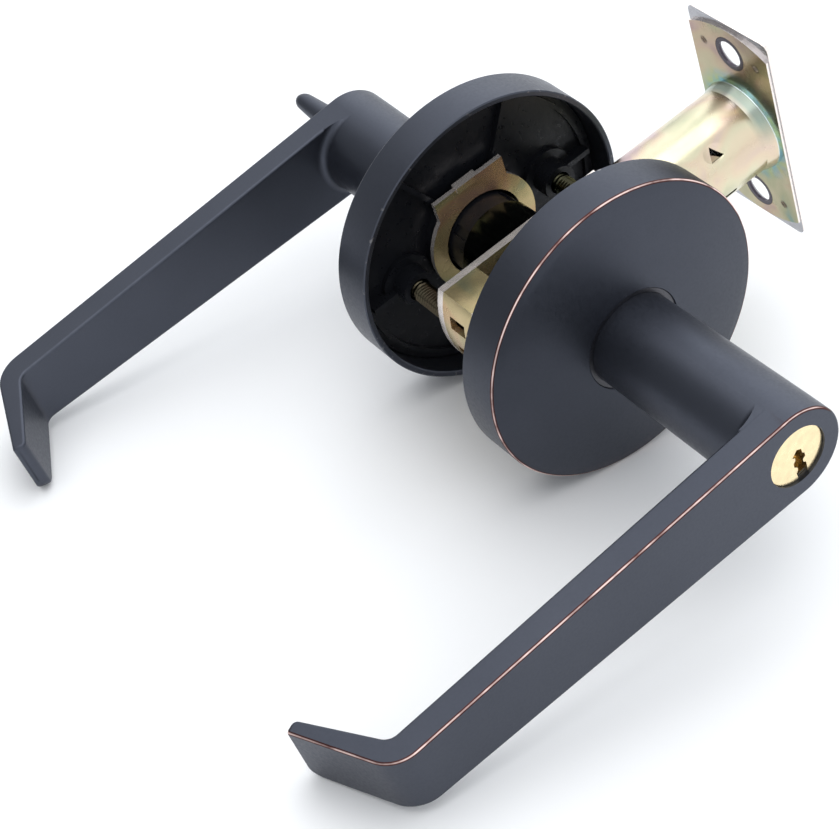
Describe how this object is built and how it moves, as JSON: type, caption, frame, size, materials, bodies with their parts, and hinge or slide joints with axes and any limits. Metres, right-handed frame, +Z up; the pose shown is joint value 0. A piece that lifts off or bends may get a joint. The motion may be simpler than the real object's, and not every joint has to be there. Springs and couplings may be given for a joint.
{
  "type": "lever handle lockset",
  "caption": "Cylindrical lever lockset: two bent levers on round roses, key cylinder outside, thumb turn inside, sprung latch bolt with rectangular faceplate",
  "frame": {"origin": "where the spindle axis crosses the latch axis, inside the door's thickness", "axes": "+X along the latch towards its faceplate and the door's edge; +Y along the spindle towards the inside lever with the thumb turn; -Y towards the outside lever with the key cylinder; +Z up; both lever arms point along -X at rest"},
  "size_m": [0.1827, 0.1753, 0.0706],
  "materials": {
    "dark_finish": "satin dark blue-grey coating, rubbed through to copper along the outside edges",
    "black_casting": "matt black cast surface",
    "yellow_zinc": "pale yellow passivated zinc with faint pink and green tints",
    "dark_zinc": "dark olive passivated zinc",
    "bright_steel": "bright satin steel",
    "steel": "plain mill-finish steel",
    "spring_steel": "drawn spring wire and strip",
    "brass": "satin turned brass",
    "bush_metal": "grey sintered metal"
  },
  "bodies": {
    "lock_body": {"outside_rose": "dark_finish", "inside_rose": "dark_finish", "outside_neck_bush": "bush_metal", "inside_neck_bush": "bush_metal", "outside_mounting_plate": "black_casting", "inside_mounting_plate": "black_casting", "through_bolts": "dark_zinc", "outside_spring_cage": "yellow_zinc", "inside_spring_cage": "yellow_zinc", "outside_return_spring": "spring_steel", "inside_return_spring": "spring_steel", "outside_hub": "dark_zinc", "inside_hub": "dark_zinc", "housing_outside_plate": "yellow_zinc", "housing_inside_plate": "yellow_zinc", "housing_shell": "yellow_zinc", "retractor_springs": "spring_steel", "latch_faceplate": "bright_steel", "latch_backing_plate": "yellow_zinc", "latch_tube": "yellow_zinc", "latch_end_cap": "yellow_zinc", "bolt_spring": "spring_steel", "plunger_spring": "spring_steel"},
    "outside_lever_assembly": {"outside_lever": "dark_finish", "outside_spindle": "steel", "outside_lever_catch": "spring_steel", "outside_spring_hub": "black_casting", "cylinder_body": "brass", "driver_pins": "steel", "driver_springs": "spring_steel"},
    "inside_lever_assembly": {"inside_lever": "dark_finish", "inside_spindle": "steel", "inside_lever_catch": "spring_steel", "inside_spring_hub": "black_casting"},
    "key_plug": {"cylinder_plug": "brass", "key_pins": "brass", "plug_clip": "spring_steel", "tailpiece": "steel"},
    "turn_piece": {"thumb_turn": "dark_finish", "locking_bar": "steel"},
    "retractor_body": {"retractor": "dark_zinc"},
    "bolt_body": {"latch_bolt": "bright_steel", "latch_tail": "steel"},
    "plunger_body": {"deadlatch_plunger": "bright_steel"}
  },
  "joints": [
    {"name": "outside_lever_turn", "type": "hinge", "parent": "lock_body", "child": "outside_lever_assembly", "pos_m": [0, 0, 0], "axis": [0, -1, 0], "range_deg": [0, 45], "stiffness_Nm_per_rad": 0.5, "springref_deg": -20.05},
    {"name": "inside_lever_turn", "type": "hinge", "parent": "lock_body", "child": "inside_lever_assembly", "pos_m": [0, 0, 0], "axis": [0, -1, 0], "range_deg": [0, 45], "stiffness_Nm_per_rad": 0.5, "springref_deg": -20.05},
    {"name": "key_plug_turn", "type": "hinge", "parent": "outside_lever_assembly", "child": "key_plug", "pos_m": [0, -0.07, 0], "axis": [0, -1, 0], "range_deg": [-90, 90]},
    {"name": "thumb_turn_turn", "type": "hinge", "parent": "inside_lever_assembly", "child": "turn_piece", "pos_m": [0, 0.07, 0], "axis": [0, 1, 0], "range_deg": [0, 90]},
    {"name": "retractor_slide", "type": "slide", "parent": "lock_body", "child": "retractor_body", "axis": [-1, 0, 0], "range_m": [0, 0.0115], "deforming": ["retractor_springs"]},
    {"name": "latch_bolt_slide", "type": "slide", "parent": "lock_body", "child": "bolt_body", "axis": [-1, 0, 0], "range_m": [0, 0.0115], "deforming": ["bolt_spring"]},
    {"name": "deadlatch_slide", "type": "slide", "parent": "lock_body", "child": "plunger_body", "axis": [-1, 0, 0], "range_m": [0, 0.0095], "stiffness_N_per_m": 300, "springref_m": -0.004, "deforming": ["plunger_spring"]}
  ],
  "couplings": [
    {"joint": "retractor_slide", "follows": "inside_lever_turn", "m_per_rad": 0.014642},
    {"joint": "latch_bolt_slide", "follows": "inside_lever_turn", "m_per_rad": 0.014642}
  ]
}
